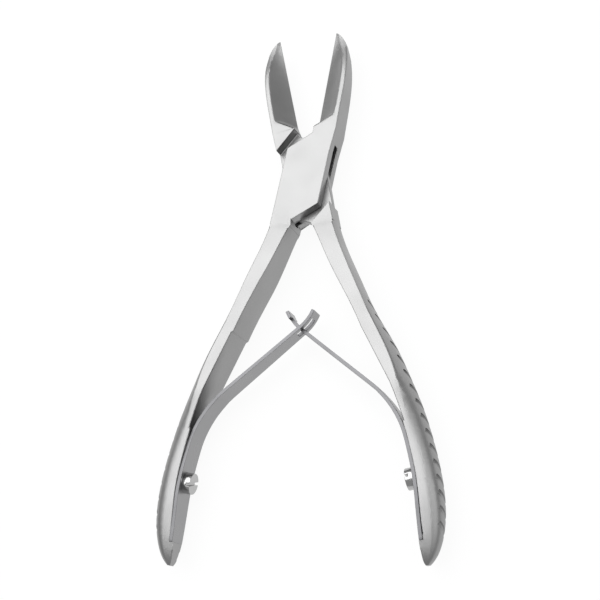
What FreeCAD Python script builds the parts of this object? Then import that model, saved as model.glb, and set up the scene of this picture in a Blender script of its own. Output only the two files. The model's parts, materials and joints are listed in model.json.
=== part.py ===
"""Bone cutting forceps: two forged halves in a box lock, held open by leaf springs.

Every piece is drawn in the closed frame of its half: the pivot is the origin, +Y
runs to the blade tips, +Z is the front, and the cutting edge lies on X = 0 up to
its heel and leans a little to -X above it. The tongue half has its handle on +X.
The box half is the same forging mirrored in X, apart from that lean.
The halves are then turned apart about the pivot into the open rest position.
"""
import FreeCAD
import Part

import math
import os
from dataclasses import dataclass

import Sketcher
from FreeCAD import Placement, Rotation, Vector

SIZES = {
    "open_half": (10.75, "half of the opening, degrees"),
    "handle_length": (98.8, "pivot to handle end"),
    "handle_start": (13.0, "pivot to the top of the handle"),
    "grip_depth": (10.5, "front to back at the grip"),
    "lock_thick": (7.6, "front to back at the lock"),
    "lock_half_width": (5.6, "pivot to the side of the lock"),
    "lock_slant": (40.0, "slope of the lock shoulders, degrees"),
    "cheek_reach": (8.9, "pivot to the end of a cheek"),
    "shoulder_reach": (10.1, "pivot to a shoulder of the tongue"),
    "front_cheek": (2.8, "front cheek thickness"),
    "tongue_thick": (2.3, "tongue thickness"),
    "tongue_play": (0.05, "clearance on each face of the tongue"),
    "window_slant": (26.6, "slope of the window's end walls, degrees"),
    "window_reach": (11.1, "pivot to an end wall of the window"),
    "window_play": (0.3, "clearance at the ends of the tongue"),
    "rivet_radius": (2.6, "joint rivet radius"),
    "rivet_play": (0.03, "running clearance round the rivet"),
    "blade_length": (40.8, "pivot to blade tip"),
    "blade_width": (6.0, "cutting edge to spine"),
    "blade_lean": (1.9, "lean of the blades above their heel, degrees"),
    "blade_rim": (1.2, "land left along the spine by the grind"),
    "edge_land": (0.1, "half thickness left at the cutting edge"),
    "edge_play": (0.05, "cutting edge to the closing plane"),
    "grind_radius": (9.0, "radius of the hollow grind"),
    "grind_slant": (38.0, "slope of the heel line of the grind, degrees"),
    "grind_run": (2.5, "length of the run-out at the heel of the grind"),
    "grind_heel": (13.2, "pivot to the heel of the grind"),
    "leaf_thick": (0.85, "leaf spring thickness"),
    "leaf_seat": (1.0, "depth of the seat for the leaf"),
    "leaf_relief": (0.3, "extra depth of the seat under the free leaf"),
    "leaf_play": (0.02, "leaf foot to its seat"),
    "seat_top": (41.9, "pivot to the top step of the seat"),
    "seat_end": (93.4, "pivot to the lower end of the seat"),
    "flex_drop": (65.7, "pivot to the flexing point of the leaf"),
    "knuckle_play": (0.05, "clearance round the flexing point"),
    "leaf_root": (7.0, "leaf width at the flexing point"),
    "leaf_tip": (4.6, "leaf width at the tip"),
    "cross_drop": (38.8, "pivot to the crossing of the leaves, open"),
    "leaf_slope": (39.1, "slope of the straight leaf, open, degrees"),
    "straight_run": (23.8, "straight length of the leaf below the crossing"),
    "root_lean": (22.5, "lean of the leaf at the flexing point, closed, degrees"),
    "leaf_over": (5.5, "leaf length beyond the crossing"),
    "leaf_hook": (18.0, "upward bend of the leaf beyond the crossing, degrees"),
    "slot_below": (1.9, "slot length below the crossing"),
    "slot_above": (3.0, "slot length beyond the crossing"),
    "slot_width": (2.1, "slot width"),
    "neck_play": (0.2, "clearance of the neck in the slot, each side"),
    "screw_drop": (79.1, "pivot to the spring screw"),
    "screw_head": (2.55, "screw head radius"),
    "screw_head_high": (2.0, "screw head height"),
    "screw_shank": (1.2, "screw shank radius"),
    "screw_length": (3.6, "screw shank length under the head"),
    "screw_slot": (0.65, "driver slot width"),
    "screw_slot_deep": (0.9, "driver slot depth"),
}


@dataclass(frozen=True)
class Station:
    """One section of the handle, at a share of its length below the lock."""
    along: float
    inner: float
    outer: float
    depth: float
    crown: float


# Depth is a share of the grip depth; crown is the rise of the rounded outer side.
STATIONS = (
    Station(along=0.058, inner=1.6, outer=6.4, depth=0.83, crown=0.35),
    Station(along=0.146, inner=3.5, outer=8.1, depth=0.96, crown=0.5),
    Station(along=0.200, inner=4.9, outer=9.2, depth=1.015, crown=0.6),
    Station(along=0.300, inner=7.4, outer=11.5, depth=1.015, crown=0.9),
    Station(along=0.407, inner=9.4, outer=14.7, depth=1.015, crown=1.6),
    Station(along=0.490, inner=10.9, outer=16.5, depth=1.015, crown=2.2),
    Station(along=0.583, inner=12.4, outer=18.2, depth=0.91, crown=3.4),
    Station(along=0.676, inner=13.2, outer=19.2, depth=0.80, crown=3.9),
    Station(along=0.785, inner=13.4, outer=19.6, depth=0.72, crown=3.7),
    Station(along=0.887, inner=12.6, outer=18.7, depth=0.58, crown=3.0),
    Station(along=0.950, inner=12.2, outer=16.9, depth=0.44, crown=2.2),
    Station(along=0.986, inner=12.2, outer=14.9, depth=0.29, crown=1.3),
    Station(along=1.0, inner=12.5, outer=13.5, depth=0.17, crown=0.3),
)

TALL = 30.0
X_AXIS = Vector(1, 0, 0)
Y_AXIS = Vector(0, 1, 0)
Z_AXIS = Vector(0, 0, 1)


class Sizes:
    """Reads the driving sizes back from the sheet by name."""

    def __init__(self, sheet):
        self._sheet = sheet

    def __getattr__(self, name):
        return float(self._sheet.get(name))


def make_sheet(doc):
    """Puts the driving sizes in a sheet, one alias each."""
    sheet = doc.addObject("Spreadsheet::Sheet", "Sizes")
    for row, (name, (value, note)) in enumerate(SIZES.items(), start=1):
        sheet.set("A%d" % row, note)
        sheet.set("B%d" % row, str(value))
        sheet.setAlias("B%d" % row, name)
    doc.recompute()
    return sheet


def turn(point, degrees):
    """Turns a point about the pivot."""
    return Rotation(Z_AXIS, degrees).multVec(point)


def polygon(points):
    """A flat face inside straight lines through the points."""
    return Part.Face(Part.makePolygon(points + [points[0]]))


def prism(face, half_height):
    """A face in the XY plane made thick to both sides."""
    block = face.extrude(Vector(0, 0, 2 * half_height))
    block.translate(Vector(0, 0, -half_height))
    return block


def mirrored(shape):
    """The same shape for the other half."""
    return shape.mirror(Vector(0, 0, 0), X_AXIS)


def spline(points):
    """A smooth curve through the points."""
    curve = Part.BSplineCurve()
    curve.interpolate(points)
    return curve


def span(curve, y_from, y_to):
    """The part of a falling curve between two heights."""
    return curve.toShape(param_at(curve, y_from), param_at(curve, y_to))


def param_at(curve, y):
    """Finds where a falling curve passes a height."""
    low = curve.FirstParameter
    high = curve.LastParameter
    for _ in range(48):
        middle = 0.5 * (low + high)
        if curve.value(middle).y > y:
            low = middle
        else:
            high = middle
    return 0.5 * (low + high)


def at_height(curve, y):
    """The point of a falling curve at a height."""
    return curve.value(param_at(curve, y))


def shoulder_y(reach, slant, x):
    """Height at X of a line that rises at a slant and passes the pivot at a reach."""
    return reach / math.cos(math.radians(slant)) + x * math.tan(math.radians(slant))


class Handle:
    """The curved handle of one half, drawn on the +X side."""

    def __init__(self, v):
        self.v = v
        first = Station(0.0, 0.2, v.lock_half_width + 0.1, v.lock_thick / v.grip_depth, 0.25)
        self.stations = (first,) + STATIONS
        self.inner = spline([Vector(s.inner, self.height(s), 0) for s in self.stations])

    def height(self, station):
        """Height of a station below the pivot."""
        run = self.v.handle_length - self.v.handle_start
        return -(self.v.handle_start + station.along * run)

    def depth_at(self, y):
        """Front-to-back depth of the handle at a height."""
        pairs = zip(self.stations, self.stations[1:])
        for upper, lower in pairs:
            top, bottom = self.height(upper), self.height(lower)
            if top >= y >= bottom:
                share = (top - y) / (top - bottom)
                return self.v.grip_depth * (upper.depth + share * (lower.depth - upper.depth))
        return self.v.grip_depth * self.stations[-1].depth

    def rounded(self, front, crown):
        """The outer side of a section: a round curve from its front corner to its back one."""
        half = front.z
        opening = 2 * math.atan2(crown, half)
        radius = (half ** 2 + crown ** 2) / (2 * crown)
        pull = 4 / 3 * radius * math.tan(0.5 * opening)
        x = front.x + pull * math.sin(opening)
        z = half - pull * math.cos(opening)
        curve = Part.BezierCurve()
        curve.setPoles([front, Vector(x, front.y, z), Vector(x, front.y, -z), Vector(front.x, front.y, -half)])
        return curve

    def section(self, station):
        """Flat inside and faces, rounded outside."""
        y = self.height(station)
        half = 0.5 * station.depth * self.v.grip_depth
        edge = station.outer - station.crown
        inner_back = Vector(station.inner, y, -half)
        inner_front = Vector(station.inner, y, half)
        outer_front = Vector(edge, y, half)
        outer_back = Vector(edge, y, -half)
        edges = [
            Part.LineSegment(inner_back, inner_front).toShape(),
            Part.LineSegment(inner_front, outer_front).toShape(),
            self.rounded(outer_front, station.crown).toShape(),
            Part.LineSegment(outer_back, inner_back).toShape(),
        ]
        return Part.Wire(edges)

    def solid(self):
        """The handle as one smooth loft, ground flat front and back at the grip."""
        loft = Part.makeLoft([self.section(s) for s in self.stations], True, False)
        length = 2 * self.v.handle_length
        depth = self.v.grip_depth
        slab = Part.makeBox(length, length, depth, Vector(-0.5 * length, -length, -0.5 * depth))
        return loft.common(slab)

    def shifted_inner(self, offset):
        """The inner outline moved outwards."""
        curve = self.inner.copy()
        curve.translate(Vector(offset, 0, 0))
        return curve

    def band(self, near, far, top, bottom):
        """A prism between two outlines parallel to the inner one."""
        near_edge = span(self.shifted_inner(near), top, bottom)
        far_edge = span(self.shifted_inner(far), top, bottom)
        ends = near_edge.valueAt(near_edge.LastParameter), far_edge.valueAt(far_edge.LastParameter)
        starts = near_edge.valueAt(near_edge.FirstParameter), far_edge.valueAt(far_edge.FirstParameter)
        lower = Part.LineSegment(ends[0], ends[1]).toShape()
        upper = Part.LineSegment(starts[0], starts[1]).toShape()
        wire = Part.Wire(Part.__sortEdges__([near_edge, lower, far_edge, upper]))
        return prism(Part.Face(wire), TALL)

    def seat_cutter(self):
        """The recess for the leaf, deeper where the leaf swings free."""
        v = self.v
        recess = self.band(-TALL / 3, v.leaf_seat, -v.seat_top, -v.seat_end)
        relief_end = -v.flex_drop - v.leaf_thick
        relief = self.band(-TALL / 3, v.leaf_seat + v.leaf_relief, -v.seat_top, relief_end)
        return recess.fuse(relief)


# The spine narrows towards the tip as a superellipse with these two powers.
SPINE_POWER = 4
SPINE_ROUND = 0.625
# Share of the blade above its heel, and share of the lock's thickness left there.
THINNING = ((1.02, 0.08), (0.86, 0.26), (0.66, 0.66), (0.44, 0.86), (0.18, 0.97), (0.0, 1.0))


class Blade:
    """The blade of one half, drawn on the -X side; side is +1 for the tongue half."""

    def __init__(self, v, side):
        self.v = v
        self.heel = Vector(0, v.grind_heel, 0)
        self.lean = side * v.blade_lean
        self.rise = v.blade_length - v.grind_heel
        half = 0.5 * v.lock_thick
        self.front = spline([Vector(0, self.height(share), left * half) for share, left in THINNING])

    def height(self, share):
        """Height at a share of the blade above its heel."""
        return self.v.grind_heel + share * self.rise

    def width_at(self, y):
        """Closing plane to spine at a height."""
        share = min(max((y - self.v.grind_heel) / self.rise, 0), 0.995)
        return self.v.blade_width * (1 - share ** SPINE_POWER) ** SPINE_ROUND

    def leaned(self, x, y):
        """A point above the heel, leaned with the blade."""
        return self.heel + turn(Vector(x, y, 0) - self.heel, self.lean)

    def outline(self):
        """Front view of the blade above the lock."""
        v = self.v
        edge = -v.edge_play
        shares = (0.94, 0.88, 0.8, 0.7, 0.55, 0.35)
        spine = [self.leaned(edge, v.blade_length)]
        spine += [self.leaned(-self.width_at(self.height(s)), self.height(s)) for s in shares]
        spine.append(Vector(-v.blade_width, v.grind_heel, 0))
        base = Vector(-v.lock_half_width, 0.8 * v.cheek_reach, 0)
        foot = Vector(edge, v.cheek_reach, 0)
        corner = Vector(edge, v.grind_heel, 0)
        edges = [
            Part.LineSegment(foot, corner).toShape(),
            Part.LineSegment(corner, spine[0]).toShape(),
            spline(spine).toShape(),
            Part.LineSegment(spine[-1], base).toShape(),
            Part.LineSegment(base, foot).toShape(),
        ]
        return Part.Face(Part.Wire(edges))

    def side_profile(self):
        """Side view: as thick as the lock to the heel, then thinner to the tip."""
        v = self.v
        half = 0.5 * v.lock_thick
        low = 0.5 * v.cheek_reach
        front = self.front.toShape()
        back = front.mirror(Vector(0, 0, 0), Z_AXIS)
        tip = self.front.value(self.front.FirstParameter)
        heel = self.front.value(self.front.LastParameter)
        edges = [
            front,
            Part.LineSegment(heel, Vector(0, low, half)).toShape(),
            Part.LineSegment(Vector(0, low, half), Vector(0, low, -half)).toShape(),
            Part.LineSegment(Vector(0, low, -half), Vector(0, heel.y, -heel.z)).toShape(),
            back,
            Part.LineSegment(Vector(0, tip.y, -tip.z), tip).toShape(),
        ]
        block = Part.Face(Part.Wire(edges)).extrude(Vector(2 * TALL, 0, 0))
        block.translate(Vector(-TALL, 0, 0))
        return block

    def grind_section(self, climb, slope):
        """Section of the front grind, a climb above the heel in a plane that slopes up to the spine."""
        v = self.v
        y = v.grind_heel + climb
        steep = slope * math.tan(math.radians(v.grind_slant))
        width = self.width_at(y + steep * 0.8 * v.blade_width)
        across = width - min(v.blade_rim, 0.35 * width)
        top = v.grind_heel + 1.01 * self.rise
        face = at_height(self.front, min(y + steep * across, top)).z
        depth = math.sqrt(max(0, 1 - (1 - min(climb / v.grind_run, 1)) ** 2))
        proud = 0.03
        low = face + proud - depth * (face + proud - v.edge_land)
        chord = math.hypot(across, face + proud - low)
        sag = depth * (v.grind_radius - math.sqrt(v.grind_radius ** 2 - 0.25 * chord ** 2))
        roof = v.lock_thick

        def at(x, z):
            return Vector(-x, y + steep * x, z)

        edge = at(v.edge_play, low)
        rim = at(across, face + proud)
        middle = at(0.5 * across - sag * (face - low) / chord, 0.5 * (low + face) - sag * across / chord)
        outside = -0.3 * v.blade_width
        edges = [
            Part.LineSegment(at(outside, low), edge).toShape(),
            Part.Arc(edge, middle, rim).toShape(),
            Part.LineSegment(rim, at(across, roof)).toShape(),
            Part.LineSegment(at(across, roof), at(outside, roof)).toShape(),
            Part.LineSegment(at(outside, roof), at(outside, low)).toShape(),
        ]
        return Part.Wire(edges)

    def grind(self):
        """Hollow grind of the front face: it follows the spine and runs out at the heel."""
        run = self.v.grind_run
        stations = [(run * share, 1.0) for share in (0, 0.15, 0.4, 0.7, 1)]
        for share in (0.2, 0.35, 0.5, 0.65, 0.75, 0.83, 0.9, 0.95, 1.01):
            stations.append((share * self.rise, max(0, 0.85 - share)))
        cutter = Part.makeLoft([self.grind_section(climb, slope) for climb, slope in stations], True, False)
        cutter.rotate(self.heel, Z_AXIS, self.lean)
        return cutter

    def solid(self):
        """The blade with both faces ground hollow."""
        block = prism(self.outline(), TALL).common(self.side_profile())
        front = self.grind()
        return block.cut(front).cut(front.mirror(Vector(0, 0, 0), Z_AXIS))


def tongue_outline(v):
    """Front view of the lock part of the tongue half."""
    w = v.lock_half_width
    reach = v.window_reach - v.window_play
    start = v.handle_start + 0.5
    side_y = shoulder_y(reach, -v.window_slant, w)
    mid_y = shoulder_y(reach, -v.window_slant, 0)
    points = [Vector(w, side_y, 0), Vector(-v.edge_play, mid_y, 0), Vector(-v.edge_play, v.grind_heel, 0),
              Vector(-w, v.grind_heel - 3, 0), Vector(-w, -side_y, 0), Vector(0.2, -mid_y, 0),
              Vector(0.3, -start, 0), Vector(w + 0.1, -start, 0), Vector(w, -side_y, 0)]
    return polygon(points)


def box_outline(v):
    """Front view of the lock part of the box half, mirrored like its forging."""
    w = v.lock_half_width
    side_y = shoulder_y(v.cheek_reach, v.lock_slant, -w)
    mid_y = shoulder_y(v.cheek_reach, v.lock_slant, 0)
    start = v.handle_start + 0.5
    points = [Vector(-w, side_y, 0), Vector(v.edge_play, mid_y, 0), Vector(v.edge_play, v.grind_heel, 0),
              Vector(w, v.grind_heel - 3, 0), Vector(w, -side_y, 0), Vector(-0.2, -mid_y, 0),
              Vector(-0.3, -start, 0), Vector(-w - 0.1, -start, 0)]
    return polygon(points)


def screw_bore(v, handle, radius, length):
    """A bore square to the seat at the spring screw."""
    seat = at_height(handle.inner, -v.screw_drop) + Vector(v.leaf_seat, 0, 0)
    start = seat - X_AXIS * (length * 0.5)
    return Part.makeCylinder(radius, length, start, X_AXIS)


def tongue_blank(v, handle):
    """Forging of the tongue half before the lock is cut."""
    lock = prism(tongue_outline(v), 0.5 * v.lock_thick)
    blank = lock.fuse([Blade(v, 1).solid(), handle.solid()])
    blank = blank.cut(handle.seat_cutter())
    return blank.removeSplitter()


def box_blank(v, handle):
    """Forging of the box half before the lock is cut."""
    lock = prism(box_outline(v), 0.5 * v.lock_thick)
    blank = lock.fuse([mirrored(Blade(v, -1).solid()), mirrored(handle.solid())])
    blank = blank.cut(mirrored(handle.seat_cutter()))
    return blank.removeSplitter()


@dataclass
class Leaf:
    """Centre line and widths of a leaf spring, drawn for the tongue half."""
    v: Sizes
    handle: Handle

    @property
    def seat_offset(self):
        """Distance of the foot's inner face from the handle's inner outline."""
        return self.v.leaf_seat - self.v.leaf_play - self.v.leaf_thick

    @property
    def flex(self):
        """The flexing point on the leaf's centre line."""
        base = at_height(self.handle.inner, -self.v.flex_drop)
        return base + Vector(self.seat_offset + 0.5 * self.v.leaf_thick, 0, 0)

    @property
    def crossing(self):
        """Where the leaves cross in the open position."""
        return turn(Vector(0, -self.v.cross_drop, 0), -self.v.open_half)

    @property
    def run(self):
        """Direction of the straight leaf, from the handle to the tip."""
        angle = 180 - self.v.leaf_slope - self.v.open_half
        return turn(X_AXIS, angle)

    @property
    def side(self):
        """Square to the straight leaf, in the plane of the halves."""
        return turn(self.run, 90)

    def centre_curve(self):
        """The bent stretch from the flexing point to the straight run."""
        knee = self.crossing - self.run * self.v.straight_run
        start = turn(Y_AXIS, self.v.root_lean)
        curve = Part.BSplineCurve()
        curve.interpolate(Points=[self.flex, knee], InitialTangent=start, FinalTangent=self.run)
        return curve

    def faces_of_bend(self, curve):
        """The bent stretch's two faces."""
        half = 0.5 * self.v.leaf_thick
        left, right = [], []
        for index in range(7):
            share = index / 6
            at = curve.FirstParameter + share * (curve.LastParameter - curve.FirstParameter)
            along = Vector(*curve.tangent(at)[0])
            across = turn(along, 90)
            left.append(curve.value(at) + across * half)
            right.append(curve.value(at) - across * half)
        return left, right

    def blade_profile(self):
        """Edge view of the free leaf, rounded at the flexing point."""
        v = self.v
        curve = self.centre_curve()
        left, right = self.faces_of_bend(curve)
        half = 0.5 * v.leaf_thick
        knee = self.crossing + self.run * (0.5 * v.slot_width)
        hook = turn(self.run, -v.leaf_hook)
        end = knee + hook * (v.leaf_over - 0.5 * v.slot_width)
        left_end = end + turn(hook, 90) * half
        right_end = end - turn(hook, 90) * half
        start = Vector(*curve.tangent(curve.FirstParameter)[0])
        crest = self.flex - start * half
        edges = [
            spline(left).toShape(),
            Part.LineSegment(left[-1], knee + self.side * half).toShape(),
            Part.LineSegment(knee + self.side * half, left_end).toShape(),
            Part.LineSegment(left_end, right_end).toShape(),
            Part.LineSegment(right_end, knee - self.side * half).toShape(),
            Part.LineSegment(knee - self.side * half, right[-1]).toShape(),
            spline(right[::-1]).toShape(),
            Part.Arc(right[0], crest, left[0]).toShape(),
        ]
        return Part.Face(Part.Wire(edges))

    def along_block(self, low, high, half_low, half_high):
        """A block along the straight run between two distances from the crossing."""
        base = self.crossing - self.side * TALL
        points = [base + self.run * low - Z_AXIS * half_low, base + self.run * high - Z_AXIS * half_high,
                  base + self.run * high + Z_AXIS * half_high, base + self.run * low + Z_AXIS * half_low]
        return polygon(points).extrude(self.side * (2 * TALL))

    def blade(self):
        """The free leaf, narrowing to its tip."""
        v = self.v
        body = prism(self.blade_profile(), v.leaf_root)
        back = (self.flex - self.crossing).dot(self.run) - v.leaf_thick
        taper = self.along_block(back, v.leaf_over + 1, 0.5 * v.leaf_root, 0.5 * v.leaf_tip)
        return body.common(taper)

    def slotted(self):
        """The leaf with the slot."""
        v = self.v
        half = 0.5 * v.slot_width
        return self.blade().cut(self.along_block(-v.slot_below, v.slot_above, half, half))

    def necked(self):
        """The leaf with the neck that runs in the slot and a cross head behind it."""
        v = self.v
        half = 0.5 * v.slot_width - v.neck_play
        leaf = self.blade()
        window = self.along_block(-v.slot_below - 0.5, v.slot_above + 0.5, v.leaf_root, v.leaf_root)
        keep = self.along_block(-v.slot_below - 1, v.slot_above + 1, half, half)
        return leaf.cut(window.cut(keep))

    def foot(self):
        """The clamped end of the leaf, lying in its seat."""
        v = self.v
        inner = self.seat_offset
        end = -v.seat_end + v.neck_play
        strip = self.handle.band(inner, inner + v.leaf_thick, -v.flex_drop, end)
        knuckle = Part.makeCylinder(0.5 * v.leaf_thick + v.knuckle_play, 2 * TALL,
                                    self.flex - Z_AXIS * TALL, Z_AXIS)
        bore = screw_bore(v, self.handle, v.screw_shank + 0.1, 8)
        return strip.common(self.foot_width(end)).cut(knuckle).cut(bore)

    def foot_width(self, end):
        """Limits the foot to the depth of the handle."""
        v = self.v
        flex = -v.flex_drop + v.leaf_thick
        screw = -v.screw_drop
        root = 0.5 * v.leaf_root
        wide = 0.48 * self.handle.depth_at(screw)
        narrow = 0.48 * self.handle.depth_at(end)
        points = [Vector(-TALL, end, narrow), Vector(-TALL, screw, wide), Vector(-TALL, flex, root),
                  Vector(-TALL, flex, -root), Vector(-TALL, screw, -wide), Vector(-TALL, end, -narrow)]
        return polygon(points).extrude(Vector(2 * TALL, 0, 0))


def add_blank(doc, name, shape):
    """Adds a forging to the document."""
    obj = doc.addObject("Part::Feature", name)
    obj.Shape = shape
    return obj


def slanted_box(doc, name, reach, slant, low, high):
    """A box across the lock, its end faces a reach from the pivot at a slant."""
    box = doc.addObject("Part::Box", name)
    box.setExpression("Width", "2 * Sizes.%s" % reach)
    box.setExpression("Height", "(%s) - (%s)" % (high, low))
    box.Length = 2 * TALL
    half = float(doc.Sizes.get(reach))
    angle = slant
    corner = turn(Vector(-TALL, -half, 0), angle)
    box.Placement = Placement(corner, Rotation(Z_AXIS, angle))
    box.setExpression("Placement.Base.z", low)
    return box


def bore(doc, name, radius):
    """A bore for the rivet, through the whole lock."""
    cylinder = doc.addObject("Part::Cylinder", name)
    cylinder.setExpression("Radius", radius)
    cylinder.setExpression("Height", "4 * Sizes.lock_thick")
    cylinder.setExpression("Placement.Base.z", "-2 * Sizes.lock_thick")
    return cylinder


def cut_all(doc, base, tools, name):
    """Cuts one tool after another from a base object."""
    for index, tool in enumerate(tools):
        cut = doc.addObject("Part::Cut", "%s_cut%d" % (name, index))
        cut.Base = base
        cut.Tool = tool
        base = cut
    base.Label = name
    return base


def make_tongue_half(doc, v, handle):
    """Tongue half: thinned to a tongue between its shoulders, bored for the rivet."""
    blank = add_blank(doc, "tongue_blank", tongue_blank(v, handle))
    face = "0.5 * Sizes.lock_thick - Sizes.front_cheek - Sizes.tongue_play"
    back = "%s - Sizes.tongue_thick" % face
    far = "2 * Sizes.grip_depth"
    front_cut = slanted_box(doc, "tongue_front", "shoulder_reach", v.lock_slant, face, far)
    back_cut = slanted_box(doc, "tongue_back", "shoulder_reach", v.lock_slant, "-(%s)" % far, back)
    hole = bore(doc, "tongue_bore", "Sizes.rivet_radius + Sizes.rivet_play")
    tap = add_blank(doc, "tongue_tap", screw_bore(v, handle, v.screw_shank, 2 * v.screw_length))
    return cut_all(doc, blank, [front_cut, back_cut, hole, tap], "tongue_half")


def make_box_half(doc, v, handle):
    """Box half: a window between two cheeks that the tongue passes through."""
    blank = add_blank(doc, "box_blank", box_blank(v, handle))
    front = "0.5 * Sizes.lock_thick - Sizes.front_cheek"
    back = "%s - Sizes.tongue_thick - 2 * Sizes.tongue_play" % front
    window = slanted_box(doc, "box_window", "window_reach", -v.window_slant, back, front)
    hole = bore(doc, "box_bore", "Sizes.rivet_radius")
    tap = add_blank(doc, "box_tap", mirrored(screw_bore(v, handle, v.screw_shank, 2 * v.screw_length)))
    return cut_all(doc, blank, [window, hole, tap], "box_half")


def make_body(doc, name):
    """A solid body with its own origin."""
    body = doc.addObject("PartDesign::Body", name)
    body.Label = name
    return body


def base_plane(body):
    """The body's own XY plane."""
    return [f for f in body.Origin.OriginFeatures if f.Role == "XY_Plane"][0]


def circle_sketch(body, name, radius, radius_cell):
    """A circle about the body's axis, its radius bound to the sheet."""
    sketch = body.newObject("Sketcher::SketchObject", name)
    sketch.AttachmentSupport = [(base_plane(body), "")]
    sketch.MapMode = "FlatFace"
    sketch.addGeometry(Part.Circle(Vector(0, 0, 0), Z_AXIS, radius))
    sketch.addConstraint(Sketcher.Constraint("Coincident", 0, 3, -1, 1))
    sketch.addConstraint(Sketcher.Constraint("Radius", 0, radius))
    sketch.setExpression("Constraints[1]", radius_cell)
    return sketch


def pad(body, sketch, name, length_cell, backwards=False):
    """Pads a sketch by a length from the sheet."""
    feature = body.newObject("PartDesign::Pad", name)
    feature.Profile = sketch
    feature.Reversed = backwards
    feature.setExpression("Length", length_cell)
    return feature


def make_rivet(doc, v):
    """Joint rivet, ground flush with both cheeks."""
    body = make_body(doc, "joint_rivet")
    sketch = circle_sketch(body, "rivet_circle", v.rivet_radius, "Sizes.rivet_radius")
    pad(body, sketch, "rivet_pad", "Sizes.lock_thick")
    return body


def slot_sketch(body, name, v):
    """The driver slot across a screw head."""
    sketch = body.newObject("Sketcher::SketchObject", name)
    sketch.AttachmentSupport = [(base_plane(body), "")]
    sketch.MapMode = "FlatFace"
    sketch.setExpression("AttachmentOffset.Base.z", "Sizes.screw_head_high")
    x = 2 * v.screw_head
    y = 0.5 * v.screw_slot
    corners = [Vector(-x, -y, 0), Vector(x, -y, 0), Vector(x, y, 0), Vector(-x, y, 0)]
    for start, end in zip(corners, corners[1:] + corners[:1]):
        sketch.addGeometry(Part.LineSegment(start, end))
    for index in range(4):
        sketch.addConstraint(Sketcher.Constraint("Coincident", index, 2, (index + 1) % 4, 1))
    sketch.addConstraint(Sketcher.Constraint("Horizontal", 0))
    sketch.addConstraint(Sketcher.Constraint("Horizontal", 2))
    sketch.addConstraint(Sketcher.Constraint("Vertical", 1))
    sketch.addConstraint(Sketcher.Constraint("Vertical", 3))
    sketch.addConstraint(Sketcher.Constraint("Symmetric", 0, 1, 1, 2, -1, 1))
    sketch.addConstraint(Sketcher.Constraint("DistanceX", 0, 1, 0, 2, 2 * x))
    sketch.addConstraint(Sketcher.Constraint("DistanceY", 1, 1, 1, 2, 2 * y))
    sketch.setExpression("Constraints[9]", "4 * Sizes.screw_head")
    sketch.setExpression("Constraints[10]", "Sizes.screw_slot")
    return sketch


def make_screw(doc, v, name):
    """Cheese-head spring screw: head upwards on its own axis, shank below."""
    body = make_body(doc, name)
    head = circle_sketch(body, name + "_head_circle", v.screw_head, "Sizes.screw_head")
    pad(body, head, name + "_head", "Sizes.screw_head_high")
    shank = circle_sketch(body, name + "_shank_circle", v.screw_shank, "Sizes.screw_shank")
    pad(body, shank, name + "_shank", "Sizes.screw_length", backwards=True)
    slot = slot_sketch(body, name + "_slot_outline", v)
    pocket = body.newObject("PartDesign::Pocket", name + "_slot")
    pocket.Profile = slot
    pocket.setExpression("Length", "Sizes.screw_slot_deep")
    return body


def screw_place(v, leaf, side):
    """Where a screw sits in the closed frame; side is +1 for the tongue half."""
    inner = at_height(leaf.handle.inner, -v.screw_drop).x + leaf.seat_offset
    tilt = Rotation(Y_AXIS, -90 * side)
    return Placement(Vector(side * inner, -v.screw_drop, 0), tilt.multiply(Rotation(Z_AXIS, 12)))


def build(doc):
    """Builds every piece and returns (object, side, own placement) for each."""
    v = Sizes(make_sheet(doc))
    handle = Handle(v)
    leaf = Leaf(v, handle)
    rivet_base = Placement(Vector(0, 0, -0.5 * v.lock_thick), Rotation())
    none = Placement()
    pieces = [
        (make_box_half(doc, v, handle), -1, none),
        (make_tongue_half(doc, v, handle), 1, none),
        (make_rivet(doc, v), -1, rivet_base),
        (add_blank(doc, "left_spring_foot", mirrored(leaf.foot())), -1, none),
        (add_blank(doc, "left_spring_blade", mirrored(leaf.slotted())), -1, none),
        (add_blank(doc, "right_spring_foot", leaf.foot()), 1, none),
        (add_blank(doc, "right_spring_blade", leaf.necked()), 1, none),
        (make_screw(doc, v, "left_spring_screw"), -1, screw_place(v, leaf, -1)),
        (make_screw(doc, v, "right_spring_screw"), 1, screw_place(v, leaf, 1)),
    ]
    doc.recompute()
    return v, leaf, pieces


def place(v, pieces):
    """Turns the halves apart and stands the origin under the middle of the part."""
    bounds = FreeCAD.BoundBox()
    for obj, side, own in pieces:
        obj.Placement = Placement(Vector(), Rotation(Z_AXIS, side * v.open_half)).multiply(own)
        bounds.add(Part.getShape(obj).optimalBoundingBox(False))
    shift = Vector(-bounds.Center.x, -bounds.Center.y, -bounds.ZMin)
    for obj, _, _ in pieces:
        obj.Placement = Placement(shift, Rotation()).multiply(obj.Placement)
    return shift


def check(doc, pieces):
    """Stops if any object failed or a piece isn't one valid solid."""
    for obj in doc.Objects:
        if "Invalid" in obj.State or "Error" in obj.State:
            raise RuntimeError("%s failed: %s" % (obj.Name, obj.State))
    for obj, _, _ in pieces:
        shape = Part.getShape(obj)
        if shape.isNull() or not shape.isValid() or len(shape.Solids) != 1:
            raise RuntimeError("%s isn't one valid solid" % obj.Label)


def report(v, leaf, shift):
    """Prints the joint positions for the record."""
    flex = turn(leaf.flex, v.open_half)
    print("pivot", shift)
    print("right flex", flex + shift)
    print("left flex", Vector(-flex.x, flex.y, flex.z) + shift)
    print("crossing", turn(leaf.crossing, v.open_half) + shift)


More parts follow.
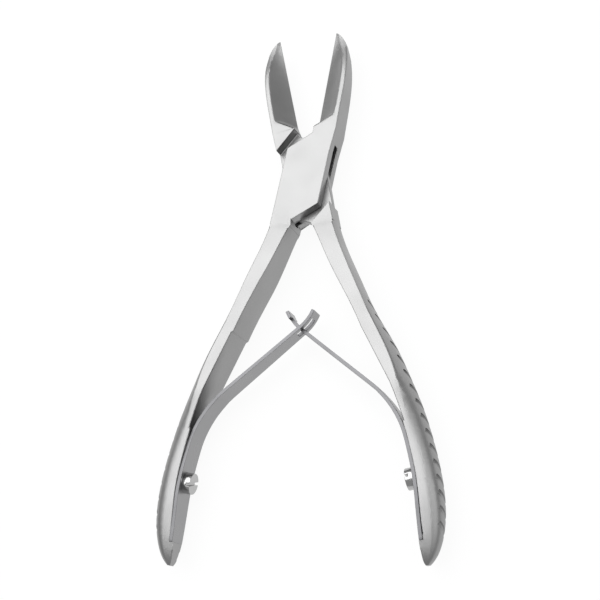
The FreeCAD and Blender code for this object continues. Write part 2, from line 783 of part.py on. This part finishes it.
def main():
    """Builds, checks and exports the part."""
    doc = FreeCAD.newDocument("BoneCuttingForceps")
    v, leaf, pieces = build(doc)
    shift = place(v, pieces)
    doc.recompute()
    check(doc, pieces)
    report(v, leaf, shift)
    os.makedirs("parts", exist_ok=True)
    for obj, _, _ in pieces:
        Part.getShape(obj).exportStep("parts/%s.step" % obj.Label)
        print(obj.Label, round(Part.getShape(obj).Volume, 2))


main()
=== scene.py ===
"""Dressed scene of the bone cutting forceps: satin steel, springs, screws and studio."""

import json
import logging
import math
from collections.abc import Callable
from dataclasses import dataclass, field
from enum import Enum

import bmesh
import bpy
from mathutils import Matrix, Vector


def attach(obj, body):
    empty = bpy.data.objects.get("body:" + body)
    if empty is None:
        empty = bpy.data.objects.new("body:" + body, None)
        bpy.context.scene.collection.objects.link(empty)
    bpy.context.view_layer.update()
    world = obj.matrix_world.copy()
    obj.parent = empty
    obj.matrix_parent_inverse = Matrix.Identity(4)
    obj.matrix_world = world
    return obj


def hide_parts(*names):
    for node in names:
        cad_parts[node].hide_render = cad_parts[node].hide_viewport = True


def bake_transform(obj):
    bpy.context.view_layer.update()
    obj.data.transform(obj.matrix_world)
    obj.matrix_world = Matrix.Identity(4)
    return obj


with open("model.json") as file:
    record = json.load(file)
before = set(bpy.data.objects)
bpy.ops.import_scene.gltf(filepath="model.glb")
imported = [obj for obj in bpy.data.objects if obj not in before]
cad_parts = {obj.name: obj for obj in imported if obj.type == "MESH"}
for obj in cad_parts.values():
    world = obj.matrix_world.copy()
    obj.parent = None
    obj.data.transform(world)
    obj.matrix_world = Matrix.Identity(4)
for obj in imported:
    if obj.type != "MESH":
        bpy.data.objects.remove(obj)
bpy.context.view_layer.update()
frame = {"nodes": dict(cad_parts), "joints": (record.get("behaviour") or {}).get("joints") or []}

LOG = logging.getLogger("bone_cutting_forceps")
MM = 0.001
# The jaw's pivot in millimetres: places below are measured from it on the open forceps.
PIVOT = Vector(next(joint["pos_m"] for joint in frame["joints"] if joint["name"] == "jaw")) / MM
# Points of a CAD mesh closer than MERGE_MM become one, and faces within FLAT_ANGLE degrees one flat.
MERGE_MM = 0.002
FLAT_ANGLE = 0.3
# Faces that meet at less than this many degrees are shaded as one smooth surface.
SMOOTH_ANGLE = 35
# Steps across each rounded edge.
EDGE_STEPS = 2


class Side(Enum):
    """Which grip a piece belongs to; the value is the sign of X."""

    LEFT = -1
    RIGHT = 1


class Link(Enum):
    """How the free end of a leaf spring interlocks."""

    SLOT = "slot"
    NECK = "neck"


def linear(code: str) -> tuple[float, float, float, float]:
    """Turns an sRGB hex colour into linear values.

    Args:
        code: Six hex digits with a leading hash.

    Returns:
        Linear red, green, blue and an alpha of 1.
    """
    values = [int(code[i:i + 2], 16) / 255 for i in (1, 3, 5)]
    parts = [c / 12.92 if c <= 0.04045 else ((c + 0.055) / 1.055) ** 2.4 for c in values]
    return (parts[0], parts[1], parts[2], 1.0)


def add_node(tree: bpy.types.NodeTree, kind: str, settings: dict[str | int, object] | None = None,
             links: dict[str | int, bpy.types.NodeSocket] | None = None) -> bpy.types.Node:
    """Adds a node with its settings and incoming links.

    Args:
        tree: The node tree to add to.
        kind: The node's type name.
        settings: Attribute values, or socket values for names and numbers that are inputs.
        links: Input socket name or number to the output socket that feeds it.

    Returns:
        The new node.
    """
    node = tree.nodes.new(kind)
    for name, value in (settings or {}).items():
        if isinstance(name, str) and hasattr(node, name):
            setattr(node, name, value)
        else:
            node.inputs[name].default_value = value
    for name, source in (links or {}).items():
        tree.links.new(source, node.inputs[name])
    return node


@dataclass(frozen=True)
class SteelFinish:
    """A stainless steel surface, from its colour, polish and the marks of its making.

    The grain is the fine pitting or rolling mark, grain_mm apart and pit_mm deep at a strength
    of 1. Clouds of about cloud_mm shift the roughness up or down by cloud and darken the colour,
    at most to shade times itself.
    """

    name: str
    colour: str
    roughness: float
    grain_mm: float
    grain_depth: float
    cloud: float
    slot: str
    cloud_mm: float = 9
    shade: float = 0.94
    pit_mm: float = 0.02
    noise_low: float = 0.3
    noise_high: float = 0.7

    def material(self) -> bpy.types.Material:
        """Builds the material: fine blasted or rolled grain, faint clouding, worn sheen.

        Returns:
            The material, made once and shared by the pieces that have this finish.
        """
        made = bpy.data.materials.get(self.name)
        if made:
            return made
        made = bpy.data.materials.new(self.name)
        made.use_nodes = True
        tree = made.node_tree
        tree.nodes.clear()
        place = add_node(tree, "ShaderNodeTexCoord")
        grain = add_node(tree, "ShaderNodeTexNoise",
                         {"Scale": 1 / (self.grain_mm * MM), "Detail": 3.0, "Roughness": 0.6},
                         {"Vector": place.outputs["Object"]})
        cloud = add_node(tree, "ShaderNodeTexNoise",
                         {"Scale": 1 / (self.cloud_mm * MM), "Detail": 2.0, "Roughness": 0.5},
                         {"Vector": place.outputs["Object"]})
        rough = add_node(tree, "ShaderNodeMapRange",
                         {"From Min": self.noise_low, "From Max": self.noise_high,
                          "To Min": self.roughness - self.cloud, "To Max": self.roughness + self.cloud},
                         {"Value": cloud.outputs["Fac"]})
        light = linear(self.colour)
        dark = tuple(c * self.shade for c in light[:3]) + (1.0,)
        tint = add_node(tree, "ShaderNodeMix", {"data_type": "RGBA", 6: dark, 7: light},
                        {0: cloud.outputs["Fac"]})
        bump = add_node(tree, "ShaderNodeBump",
                        {"Strength": self.grain_depth, "Distance": self.pit_mm * MM},
                        {"Height": grain.outputs["Fac"]})
        shader = add_node(tree, "ShaderNodeBsdfPrincipled", {"Metallic": 1.0},
                          {"Base Color": tint.outputs[2], "Roughness": rough.outputs["Result"],
                           "Normal": bump.outputs["Normal"]})
        add_node(tree, "ShaderNodeOutputMaterial", None, {"Surface": shader.outputs["BSDF"]})
        return made


# The real grains are finer than 0.1 mm. All four are drawn 0.22 to 0.35 mm apart, so that they show.

# Martensitic stainless steel, forged and glass-bead blasted: pale grey with a soft sheen.
FORGED_STEEL = SteelFinish("blasted_stainless_steel", "#9C9C9C", 0.38, 0.22, 0.25, 0.04, "satin_steel")
# Hardened spring strip, rolled and lightly polished: a little darker and glossier.
SPRING_STRIP = SteelFinish("rolled_spring_steel", "#969697", 0.30, 0.3, 0.12, 0.05, "spring_steel")
# The strip's sheared and stoned edges: duller than its rolled faces, and darker in colour as painted shade
# for the dark line along the strip's edge.
SHEARED_EDGE_AND_SHADE = SteelFinish("sheared_spring_edge_painted_shade", "#828284", 0.5, 0.3, 0.05, 0.04, "spring_steel")
# Turned and polished screw steel: bright with sharp highlights.
TURNED_STEEL = SteelFinish("turned_polished_steel", "#B4B4B4", 0.2, 0.35, 0.08, 0.04, "screw_steel")


def only(piece: bpy.types.Object) -> None:
    """Selects one object and makes it active.

    Args:
        piece: The object that the next operator works on.
    """
    if bpy.context.mode != "OBJECT":
        bpy.ops.object.mode_set(mode="OBJECT")
    bpy.ops.object.select_all(action="DESELECT")
    piece.select_set(True)
    bpy.context.view_layer.objects.active = piece


def settle(piece: bpy.types.Object) -> None:
    """Puts the object's place into its mesh."""
    only(piece)
    bpy.ops.object.transform_apply(location=True, rotation=True, scale=True)


def dress(piece: bpy.types.Object, finish: SteelFinish) -> None:
    """Gives a piece one finish all over.

    Args:
        piece: The mesh object.
        finish: Its finish.
    """
    piece.data.materials.clear()
    piece.data.materials.append(finish.material())
    for face in piece.data.polygons:
        face.material_index = 0


def cut_with(piece: bpy.types.Object, tool: bpy.types.Object) -> None:
    """Cuts a tool out of a piece and removes the tool.

    Args:
        piece: The mesh object that is cut.
        tool: A closed mesh object.
    """
    only(piece)
    step = piece.modifiers.new("cut", "BOOLEAN")
    step.operation = "DIFFERENCE"
    step.solver = "EXACT"
    step.object = tool
    bpy.ops.object.modifier_apply(modifier=step.name)
    bpy.data.objects.remove(tool)


def smooth_flats(piece: bpy.types.Object) -> None:
    """Shades a piece smooth between its edges, with its flat faces flat to the eye.

    Args:
        piece: The mesh object.
    """
    only(piece)
    bpy.ops.object.shade_smooth_by_angle(angle=math.radians(SMOOTH_ANGLE))
    step = piece.modifiers.new("normals", "WEIGHTED_NORMAL")
    step.keep_sharp = True
    bpy.ops.object.modifier_apply(modifier=step.name)


def break_edges(piece: bpy.types.Object, width_mm: float, angle: float,
                keep: Callable[[bmesh.types.BMEdge], bool] | None = None) -> None:
    """Rounds a piece's sharp edges.

    Args:
        piece: The mesh object.
        width_mm: Width of the broken edge.
        angle: Smallest angle between faces that counts as an edge, in degrees.
        keep: Says of an edge that it stays sharp.
    """
    only(piece)
    shape = bmesh.new()
    shape.from_mesh(piece.data)
    weight = shape.edges.layers.float.new("bevel_weight_edge")
    for edge in shape.edges:
        if not edge.is_manifold or edge.calc_face_angle() < math.radians(angle):
            continue
        edge[weight] = 0.0 if keep and keep(edge) else 1.0
    shape.to_mesh(piece.data)
    shape.free()
    step = piece.modifiers.new("edges", "BEVEL")
    step.width = width_mm * MM
    step.segments = EDGE_STEPS
    step.limit_method = "WEIGHT"
    step.use_clamp_overlap = False
    bpy.ops.object.modifier_apply(modifier=step.name)


def merged_copy(node: str, name: str) -> bpy.types.Object:
    """Copies a CAD node's mesh into a new piece with its doubled points merged.

    Args:
        node: The CAD node's name.
        name: Name of the new piece.

    Returns:
        The new piece, with no material.
    """
    piece = bpy.data.objects.new(name, frame["nodes"][node].data.copy())
    bpy.context.scene.collection.objects.link(piece)
    piece.data.materials.clear()
    only(piece)
    bpy.ops.mesh.customdata_custom_splitnormals_clear()
    bpy.ops.object.mode_set(mode="EDIT")
    bpy.ops.mesh.select_all(action="SELECT")
    bpy.ops.mesh.remove_doubles(threshold=MERGE_MM * MM)
    bpy.ops.mesh.dissolve_limited(angle_limit=math.radians(FLAT_ANGLE))
    bpy.ops.object.mode_set(mode="OBJECT")
    return piece


def through(points: list[Vector], count: int) -> list[Vector]:
    """Points along a smooth line through the given ones.

    Args:
        points: Points that the line passes.
        count: Steps between two neighbours.

    Returns:
        The line's points, the given ones among them.
    """
    line = []
    for index in range(len(points) - 1):
        before = points[max(index - 1, 0)]
        here, there = points[index], points[index + 1]
        after = points[min(index + 2, len(points) - 1)]
        for step in range(count):
            t = step / count
            line.append(0.5 * (2 * here + (there - before) * t
                               + (2 * before - 5 * here + 4 * there - after) * t ** 2
                               + (3 * here - before - 3 * there + after) * t ** 3))
    line.append(points[-1])
    return line


@dataclass
class Forging:
    """One forged half with its edges broken and file cuts along the back of its grip.

    Lengths are in millimetres, angles in degrees and places relative to the pivot.
    """

    node: str
    body: str
    side: Side
    finish: SteelFinish = FORGED_STEEL
    # Rounded edges, and where they stay sharp: round the rivet, past the blade's tip, in circles
    # of (outwards, up, radius) round slivers too thin to round, and above the heel on faces that
    # look across the jaw, with at least this share of their normal along X.
    edge_mm: float = 0.3
    edge_angle: float = 38
    rivet_rim: float = 2.8
    heel: float = 13.5
    tip: float = 35.5
    across: float = 0.9
    slivers: tuple[tuple[float, float, float], ...] = (
        (8.0, -12.0, 1.3), (2.7, -13.0, 1.6), (29.7, -89.6, 1.2), (31.1, -94.9, 2.0))
    # The row of file cuts, from the first to the last one's drop below the pivot. A ray from
    # outside finds the grip's back there and nearby, above and below, which gives its direction.
    cuts: int = 16
    cut_radius: float = 0.62
    cut_depth: float = 0.5
    cut_turn: float = 5.0
    cut_spread: float = 74.0
    cut_slant: float = 38.0
    cut_facets: int = 10
    first_cut: float = 34.5
    last_cut: float = 87.5
    outside: float = 60
    nearby: float = 1
    # The step above the leaf's seat, measured down the handle, which leans by swing. seat_step
    # is the share of its depth that stays a step. The faces that move have their middles at most
    # seat_margin below the ramp and at least the share seat_facing of their normals inwards.
    swing: float = 10.75
    seat_top: float = 41.9
    seat_depth: float = 1.3
    seat_ramp: float = 10.0
    seat_margin: float = 4
    seat_facing: float = 0.8
    seat_step: float = 0.0

    def stays_sharp(self, edge: bmesh.types.BMEdge) -> bool:
        """Tells the cutting edge, the tip, the rivet's rim and thin slivers from other edges.

        Args:
            edge: An edge of the forging.

        Returns:
            True where the edge isn't rounded.
        """
        middle = 0.5 * (edge.verts[0].co + edge.verts[1].co) / MM - PIVOT
        spots = [(0.0, 0.0, self.rivet_rim)]
        spots += [(self.side.value * x, y, radius) for x, y, radius in self.slivers]
        if middle.y > self.tip:
            return True
        if any(math.hypot(middle.x - x, middle.y - y) < radius for x, y, radius in spots):
            return True
        inner = any(face.normal.x * self.side.value > self.across for face in edge.link_faces)
        return middle.y > self.heel and inner

    def crest(self, piece: bpy.types.Object, drop: float) -> Vector:
        """Finds the outermost point of the grip at a height.

        Args:
            piece: The forging.
            drop: How far below the pivot to look, in millimetres.

        Returns:
            The point on the back of the grip, in millimetres.
        """
        far = PIVOT + Vector((self.side.value * self.outside, -drop, 0))
        hit, place, _, _ = piece.ray_cast(far * MM, Vector((-self.side.value, 0, 0)))
        if not hit:
            raise RuntimeError("no grip at %.1f mm below the pivot" % drop)
        return place / MM

    def file(self, centre: Vector, along: Vector, outwards: Vector) -> bpy.types.Object:
        """A round file bent about the grip, ready to cut with.

        Args:
            centre: Middle of its bend, in millimetres.
            along: Direction of the grip.
            outwards: Direction of the grip's back.

        Returns:
            The tube.
        """
        half = 0.5 * math.radians(self.cut_spread)
        start = Matrix.Rotation(-half, 3, along) @ outwards
        facing = along.cross(start)
        bpy.ops.object.select_all(action="DESELECT")
        bpy.ops.mesh.primitive_circle_add(vertices=self.cut_facets, radius=self.cut_radius * MM,
                                          fill_type="NGON", location=(centre + start * self.cut_turn) * MM,
                                          rotation=facing.to_track_quat("Z", "Y").to_euler())
        tube = bpy.context.active_object
        settle(tube)
        bpy.ops.object.mode_set(mode="EDIT")
        bpy.ops.mesh.select_all(action="SELECT")
        # Spin turns the other way from Matrix.Rotation, so its angle is negative.
        bpy.ops.mesh.spin(steps=self.cut_facets, angle=-2 * half, center=centre * MM, axis=along)
        bpy.ops.mesh.select_all(action="SELECT")
        bpy.ops.mesh.normals_make_consistent(inside=False)
        bpy.ops.object.mode_set(mode="OBJECT")
        return tube

    def ease_seat(self, piece: bpy.types.Object) -> None:
        """Turns the step above the leaf's seat into a long ramp, with a share of it left a step.

        Args:
            piece: The forging, before its edges are rounded.
        """
        swing = math.radians(self.swing)
        downwards = Vector((self.side.value * math.sin(swing), -math.cos(swing), 0))
        inwards = Vector((-self.side.value * math.cos(swing), -math.sin(swing), 0))
        seat_end = self.seat_top + self.seat_ramp + self.seat_margin
        ramped = {}
        for face in piece.data.polygons:
            drop = (face.center / MM - PIVOT).dot(downwards)
            if self.seat_top < drop < seat_end and face.normal.dot(inwards) > self.seat_facing:
                for index in face.vertices:
                    ramped[index] = face.normal.copy()
        for index, normal in ramped.items():
            place = piece.data.vertices[index].co
            share = ((place / MM - PIVOT).dot(downwards) - self.seat_top) / self.seat_ramp
            rise = self.seat_depth * (1 - self.seat_step) * max(0.0, 1 - max(share, 0.0))
            piece.data.vertices[index].co = place + normal * rise * MM

    def file_cuts(self, piece: bpy.types.Object) -> None:
        """Cuts the row of slanting scoops into the back of the grip.

        Args:
            piece: The forging.
        """
        gap = (self.last_cut - self.first_cut) / (self.cuts - 1)
        tools = []
        for index in range(self.cuts):
            drop = self.first_cut + index * gap
            here = self.crest(piece, drop)
            lower, upper = (self.crest(piece, drop + reach) for reach in (self.nearby, -self.nearby))
            along = (lower - upper).normalized()
            outwards = Vector((-along.y, along.x, 0)) * self.side.value
            centre = here - outwards * (self.cut_turn - self.cut_radius + self.cut_depth)
            slant = math.radians(-self.side.value * self.cut_slant)
            along = Matrix.Rotation(slant, 3, outwards) @ along
            tools.append(self.file(centre, along, outwards))
        only(tools[0])
        for tool in tools:
            tool.select_set(True)
        bpy.ops.object.join()
        cut_with(piece, bpy.context.active_object)

    def build(self) -> bpy.types.Object:
        """Makes the dressed half and puts it in place of the CAD node.

        Returns:
            The finished half.
        """
        piece = merged_copy(self.node, self.node.replace("_half", "_forging"))
        self.ease_seat(piece)
        break_edges(piece, self.edge_mm, self.edge_angle, keep=self.stays_sharp)
        self.file_cuts(piece)
        smooth_flats(piece)
        dress(piece, self.finish)
        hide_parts(self.node)
        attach(piece, self.body)
        return piece


@dataclass
class LeafSpring:
    """One leaf spring: a bent strip from its clamped foot to its interlocking end.

    Lengths are in millimetres, angles in degrees and places relative to the pivot, as on the
    right side. The left spring is its mirror image, but for its end.
    """

    side: Side
    link: Link
    finish: SteelFinish = SPRING_STRIP
    # The sheared edges' finish: duller, and darker in colour as painted shade.
    edge_finish_and_shade: SteelFinish = SHEARED_EDGE_AND_SHADE
    thick: float = 0.85
    edge_mm: float = 0.1
    edge_angle: float = 50
    # How far a face must turn to the front or back to count as a sheared edge, with its duller finish and
    # painted shade.
    edge_facing: float = 0.35
    # Width at the foot, at the screw, at the root of the free blade and at its tip, the middle
    # two at these shares of the length.
    foot_width: float = 5.9
    screw_width: float = 7.2
    root_width: float = 7.0
    tip_width: float = 4.6
    screw_share: float = 0.17
    root_share: float = 0.42
    # The interlocking end: distances along the straight run, from where the leaves cross.
    slot_width: float = 2.1
    slot: tuple[float, float] = (-1.6, 3.7)
    neck: tuple[float, float] = (-2.4, 3.5)
    neck_width: float = 1.7
    block_width: float = 4
    overcut: float = 5
    crossing: tuple[float, float] = (0.0, -38.8)
    slope: float = 39.1
    hook_start: float = 0.6
    hook_run: float = 4.9
    hook_turn: float = 28.0
    hook_steps: int = 10
    # Where the strip starts to bend and where it is all free blade.
    bend_start: tuple[float, float] = (26.6, -66.2)
    bend_end: tuple[float, float] = (22.2, -57.7)
    line_steps: int = 3
    centre: list[tuple[float, float]] = field(default_factory=lambda: [
        (30.02, -89.42), (29.72, -86.78), (29.32, -82.58), (28.95, -78.38), (28.36, -74.21),
        (27.49, -70.10), (26.45, -66.03), (25.67, -63.73), (24.65, -61.52), (23.41, -59.42),
        (21.96, -57.43), (20.31, -55.58), (18.47, -53.81), (9.3, -46.36), (0.0, -38.80)])

    def line(self) -> list[Vector]:
        """The centre line with its hooked end.

        Returns:
            The line's points in millimetres, on this spring's side.
        """
        points = through([Vector((x, y, 0)) for x, y in self.centre], self.line_steps)
        heading = math.radians(180 - self.slope)
        here = points[-1] + Vector((math.cos(heading), math.sin(heading), 0)) * self.hook_start
        points.append(here)
        for _ in range(self.hook_steps):
            heading -= math.radians(self.hook_turn) / self.hook_steps
            stride = self.hook_run / self.hook_steps
            here = here + Vector((math.cos(heading), math.sin(heading), 0)) * stride
            points.append(here)
        return [Vector((p.x * self.side.value, p.y, 0)) + PIVOT for p in points]

    def width_at(self, share: float) -> float:
        """Strip width at a share of its length.

        Args:
            share: 0 at the foot, 1 at the tip.

        Returns:
            The width in millimetres.
        """
        marks = [(0.0, self.foot_width), (self.screw_share, self.screw_width),
                 (self.root_share, self.root_width), (1.0, self.tip_width)]
        for (low, wide), (high, narrow) in zip(marks, marks[1:]):
            if share <= high:
                return wide + (narrow - wide) * (share - low) / (high - low)
        return self.tip_width

    def strip(self) -> bpy.types.Object:
        """Extrudes the strip's section along its centre line.

        Returns:
            The closed strip, without its slot or neck.
        """
        line = self.line()
        steps = [(b - a) for a, b in zip(line, line[1:])]
        total = sum(step.length for step in steps)
        headings = [math.atan2(step.y, step.x) for step in steps]
        bpy.ops.object.select_all(action="DESELECT")
        bpy.ops.mesh.primitive_plane_add(size=1.0, location=line[0] * MM)
        piece = bpy.context.active_object
        piece.name = self.side.name.lower() + "_leaf_spring"
        piece.rotation_euler = (math.radians(90), 0, headings[0] + math.radians(90))
        piece.scale = (self.thick * MM, self.width_at(0) * MM, 1)
        settle(piece)
        bpy.ops.object.mode_set(mode="EDIT")
        bpy.ops.mesh.select_all(action="SELECT")
        travelled = 0.0
        width = self.width_at(0)
        for index, step in enumerate(steps):
            travelled += step.length
            here = line[index + 1]
            bpy.ops.mesh.extrude_region_move(TRANSFORM_OT_translate={"value": step * MM})
            after = headings[min(index + 1, len(headings) - 1)]
            mean = 0.5 * (headings[index] + after)
            before = 0.5 * (headings[max(index - 1, 0)] + headings[index])
            # With no window this operator turns the other way.
            bpy.ops.transform.rotate(value=-(mean - before), orient_axis="Z", center_override=here * MM)
            wanted = self.width_at(travelled / total)
            bpy.ops.transform.resize(value=(1, 1, wanted / width), center_override=here * MM)
            width = wanted
        bpy.ops.mesh.select_all(action="SELECT")
        bpy.ops.mesh.normals_make_consistent(inside=False)
        bpy.ops.object.mode_set(mode="OBJECT")
        return piece

    def along(self, low: float, high: float, bottom: float, top: float) -> bpy.types.Object:
        """A block across the straight run, between two distances from the crossing.

        Args:
            low: Where the block starts, in millimetres past the crossing.
            high: Where it ends.
            bottom: Its lowest height from the middle plane.
            top: Its highest.

        Returns:
            The block, ready to cut with.
        """
        slope = math.radians(self.slope)
        run = Vector((-math.cos(slope) * self.side.value, math.sin(slope), 0))
        middle = PIVOT + Vector(self.crossing + (0.0,)) + run * (0.5 * (low + high))
        middle.z += 0.5 * (bottom + top)
        bpy.ops.object.select_all(action="DESELECT")
        bpy.ops.mesh.primitive_cube_add(size=1.0, location=middle * MM)
        block = bpy.context.active_object
        block.rotation_euler = (0, 0, math.atan2(run.y, run.x))
        block.scale = ((high - low) * MM, self.block_width * MM, (top - bottom) * MM)
        settle(block)
        return block

    def interlock(self, piece: bpy.types.Object) -> None:
        """Cuts the slot, or the neck behind the cross head.

        Args:
            piece: The strip.
        """
        if self.link is Link.SLOT:
            cut_with(piece, self.along(*self.slot, -0.5 * self.slot_width, 0.5 * self.slot_width))
            return
        half = 0.5 * self.neck_width
        cut_with(piece, self.along(*self.neck, half, self.overcut))
        cut_with(piece, self.along(*self.neck, -self.overcut, -half))

    def build(self) -> bpy.types.Object:
        """Makes the spring, a strip bent along its centre line from its foot to its free blade.

        Returns:
            The finished spring.
        """
        piece = self.strip()
        self.interlock(piece)
        break_edges(piece, self.edge_mm, self.edge_angle)
        smooth_flats(piece)
        dress(piece, self.finish)
        # The edge faces get the duller edge finish, whose darker colour is painted shade.
        piece.data.materials.append(self.edge_finish_and_shade.material())
        for face in piece.data.polygons:
            face.material_index = int(abs(face.normal.z) > self.edge_facing)
        name = self.side.name.lower()
        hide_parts(name + "_spring_foot", name + "_spring_blade")
        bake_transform(piece)
        return piece


@dataclass
class SpringScrew:
    """A slotted screw that clamps a leaf, with its head and slot chamfered."""

    side: Side
    finish: SteelFinish = TURNED_STEEL
    edge_mm: float = 0.16
    edge_angle: float = 40

    def build(self) -> bpy.types.Object:
        """Makes the dressed screw in place of the CAD node.

        Returns:
            The finished screw.
        """
        name = self.side.name.lower()
        piece = merged_copy(name + "_spring_screw", name + "_slotted_screw")
        break_edges(piece, self.edge_mm, self.edge_angle)
        smooth_flats(piece)
        dress(piece, self.finish)
        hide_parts(name + "_spring_screw")
        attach(piece, "box_body" if self.side is Side.LEFT else "tongue_body")
        return piece


@dataclass(frozen=True)
class Softbox:
    """A soft square lamp aimed at the middle of the object, in metres and watts."""

    name: str
    place: tuple[float, float, float]
    size: float
    power: float

    def build(self) -> None:
        """Hangs the lamp in its place."""
        data = bpy.data.lights.new(self.name, "AREA")
        data.size = self.size
        data.energy = self.power
        lamp = bpy.data.objects.new(self.name, data)
        bpy.context.scene.collection.objects.link(lamp)
        lamp.location = self.place
        lamp.rotation_euler = (-Vector(self.place)).to_track_quat("-Z", "Y").to_euler()


@dataclass
class Studio:
    """Pale floor, soft lamps and the camera at the photograph's angle.

    The camera is distance millimetres from the pivot's plane, and sees scale_px pixels to a
    millimetre there, with the pivot at pivot_px. back is the way from the object to the camera.
    """

    distance: float = 320.0
    scale_px: float = 4.0
    pivot_px: tuple[float, float] = (307.1, 180.8)
    frame_px: int = 600
    sensor_mm: float = 36.0
    back: tuple[float, float, float] = (0.31, -0.295, 0.904)
    right: tuple[float, float, float] = (0.949, 0.031, -0.315)
    nearest_m: float = 0.01
    floor_m: float = 6.0
    floor_height_m: float = -0.0002
    white_share: float = 0.93
    world_light: float = 0.45
    lamps: tuple[Softbox, ...] = (
        Softbox("key_softbox", (-0.25, 0.28, 0.75), 0.95, 6.9),
        Softbox("fill_softbox", (0.52, 0.02, 0.62), 0.55, 0.95))

    def floor(self) -> None:
        """A floor that shows white to the camera and in the steel, and keeps the shadow."""
        bpy.ops.object.select_all(action="DESELECT")
        bpy.ops.mesh.primitive_plane_add(size=self.floor_m, location=(0, 0, self.floor_height_m))
        plane = bpy.context.active_object
        plane.name = "studio_floor"
        made = bpy.data.materials.new("white_paper")
        made.use_nodes = True
        tree = made.node_tree
        tree.nodes.clear()
        paths = add_node(tree, "ShaderNodeLightPath")
        seen = add_node(tree, "ShaderNodeMath", {"operation": "MAXIMUM"},
                        {0: paths.outputs["Is Camera Ray"], 1: paths.outputs["Is Glossy Ray"]})
        share = add_node(tree, "ShaderNodeMath", {"operation": "MULTIPLY", 1: self.white_share},
                         {0: seen.outputs[0]})
        paper = add_node(tree, "ShaderNodeBsdfDiffuse", {"Color": linear("#FFFFFF")})
        glow = add_node(tree, "ShaderNodeEmission", {"Color": linear("#FFFFFF"), "Strength": 1.0})
        mix = add_node(tree, "ShaderNodeMixShader", None,
                       {0: share.outputs[0], 1: paper.outputs[0], 2: glow.outputs[0]})
        add_node(tree, "ShaderNodeOutputMaterial", None, {"Surface": mix.outputs[0]})
        plane.data.materials.append(made)

    def world(self) -> None:
        """Even light that shows white behind the object."""
        world = bpy.data.worlds.new("studio_world")
        bpy.context.scene.world = world
        world.use_nodes = True
        tree = world.node_tree
        tree.nodes.clear()
        paths = add_node(tree, "ShaderNodeLightPath")
        lit = add_node(tree, "ShaderNodeBackground",
                       {"Color": linear("#FFFFFF"), "Strength": self.world_light})
        seen = add_node(tree, "ShaderNodeBackground", {"Color": linear("#FFFFFF"), "Strength": 1.0})
        mix = add_node(tree, "ShaderNodeMixShader", None,
                       {0: paths.outputs["Is Camera Ray"], 1: lit.outputs[0], 2: seen.outputs[0]})
        add_node(tree, "ShaderNodeOutputWorld", None, {"Surface": mix.outputs[0]})

    def camera(self) -> None:
        """Places the camera at the photograph's angle and framing."""
        back = Vector(self.back).normalized()
        right = Vector(self.right)
        right = (right - back * right.dot(back)).normalized()
        up = back.cross(right)
        side_mm = (0.5 * self.frame_px - self.pivot_px[0]) / self.scale_px
        down_mm = (0.5 * self.frame_px - self.pivot_px[1]) / self.scale_px
        place = PIVOT + right * side_mm - up * down_mm + back * self.distance
        data = bpy.data.cameras.new("camera")
        data.sensor_width = self.sensor_mm
        data.lens = self.scale_px * self.distance * self.sensor_mm / self.frame_px
        data.clip_start = self.nearest_m
        camera = bpy.data.objects.new("camera", data)
        bpy.context.scene.collection.objects.link(camera)
        turned = Matrix((right, up, back)).transposed().to_4x4()
        camera.matrix_world = Matrix.Translation(place * MM) @ turned
        bpy.context.scene.camera = camera

    def build(self) -> None:
        """Sets up the whole studio."""
        self.floor()
        self.world()
        for lamp in self.lamps:
            lamp.build()
        self.camera()
        bpy.context.scene.view_settings.view_transform = "Standard"


def main() -> None:
    """Builds the dressed forceps and the studio."""
    logging.basicConfig(level=logging.INFO)
    pieces = [
        Forging("box_half", "box_body", Side.LEFT, seat_step=0.35).build(),
        Forging("tongue_half", "tongue_body", Side.RIGHT).build(),
        LeafSpring(Side.LEFT, Link.SLOT).build(),
        LeafSpring(Side.RIGHT, Link.NECK).build(),
        SpringScrew(Side.LEFT).build(),
        SpringScrew(Side.RIGHT).build(),
    ]
    rivet = frame["nodes"]["joint_rivet"]
    rivet.data.materials.clear()
    rivet.data.materials.append(FORGED_STEEL.material())
    for piece in pieces:
        LOG.info("%s: %d faces", piece.name, len(piece.data.polygons))
    Studio().build()
    bpy.context.view_layer.update()


if __name__ == "__main__":
    main()
